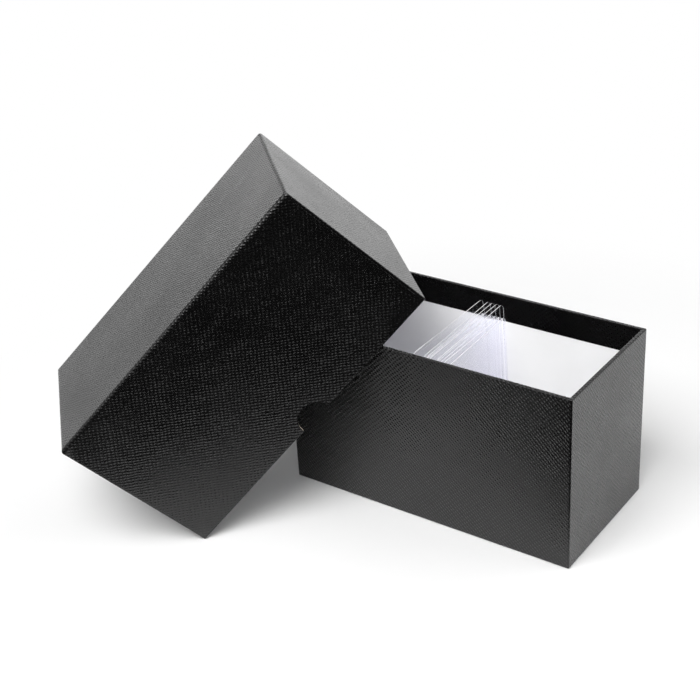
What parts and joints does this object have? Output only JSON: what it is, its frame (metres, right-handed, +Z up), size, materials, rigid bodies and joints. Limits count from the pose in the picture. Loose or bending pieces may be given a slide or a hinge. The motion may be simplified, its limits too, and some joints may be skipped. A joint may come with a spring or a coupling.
{
  "type": "two-piece card box with clear card holders",
  "caption": "Open rectangular card box with its deep lift-off lid leaning on it and clear rigid card holders standing inside.",
  "frame": {"origin": "middle of the underside of the base", "axes": "+X along the long side of the base to the right, +Y from its front to its back, +Z up"},
  "size_m": [0.3161, 0.2263, 0.2099],
  "materials": {
    "embossed_black_paper": "satin",
    "white_lining_paper": "matte",
    "greyboard": "matte",
    "corner_tape": "matte",
    "clear_sheet": "gloss"
  },
  "bodies": {
    "base": {"base_back_board": "greyboard", "base_back_left_stay": "corner_tape", "base_back_right_stay": "corner_tape", "base_bottom_board": "greyboard", "base_bottom_liner": "white_lining_paper", "base_bottom_sheet": "embossed_black_paper", "base_front_board": "greyboard", "base_front_left_stay": "corner_tape", "base_front_right_stay": "corner_tape", "base_left_board": "greyboard", "base_right_board": "greyboard", "base_side_wrap": "embossed_black_paper", "base_wall_liner": "white_lining_paper"},
    "lid": {"lid_back_board": "greyboard", "lid_back_left_stay": "corner_tape", "lid_back_right_stay": "corner_tape", "lid_front_board": "greyboard", "lid_front_left_stay": "corner_tape", "lid_front_right_stay": "corner_tape", "lid_left_board": "greyboard", "lid_right_board": "greyboard", "lid_top_board": "greyboard", "lid_top_liner": "white_lining_paper", "lid_wall_liner": "white_lining_paper", "lid_wrap": "embossed_black_paper"},
    "holder_1": {"holder_1_long_sheet": "clear_sheet", "holder_1_short_sheet": "clear_sheet", "holder_1_weld": "clear_sheet"},
    "holder_2": {"holder_2_long_sheet": "clear_sheet", "holder_2_short_sheet": "clear_sheet", "holder_2_weld": "clear_sheet"},
    "holder_3": {"holder_3_long_sheet": "clear_sheet", "holder_3_short_sheet": "clear_sheet", "holder_3_weld": "clear_sheet"},
    "holder_4": {"holder_4_long_sheet": "clear_sheet", "holder_4_short_sheet": "clear_sheet", "holder_4_weld": "clear_sheet"},
    "holder_5": {"holder_5_long_sheet": "clear_sheet", "holder_5_short_sheet": "clear_sheet", "holder_5_weld": "clear_sheet"}
  },
  "joints": [
    {"name": "lid_off", "type": "slide", "parent": "base", "child": "lid", "axis": [-0.4842, -0.5102, 0.7108], "range_m": [0, 0.12]},
    {"name": "holder_1_lift", "type": "slide", "parent": "base", "child": "holder_1", "axis": [-0.0384, -0.0003, 0.9993], "range_m": [0, 0.02]},
    {"name": "holder_2_lift", "type": "slide", "parent": "base", "child": "holder_2", "axis": [-0.0384, -0.0013, 0.9993], "range_m": [0, 0.108]},
    {"name": "holder_3_lift", "type": "slide", "parent": "base", "child": "holder_3", "axis": [-0.0384, -0.0009, 0.9993], "range_m": [0, 0.108]},
    {"name": "holder_4_lift", "type": "slide", "parent": "base", "child": "holder_4", "axis": [-0.0384, -0.0003, 0.9993], "range_m": [0, 0.108]},
    {"name": "holder_5_lift", "type": "slide", "parent": "base", "child": "holder_5", "axis": [-0.0384, -0.0011, 0.9993], "range_m": [0, 0.108]}
  ]
}
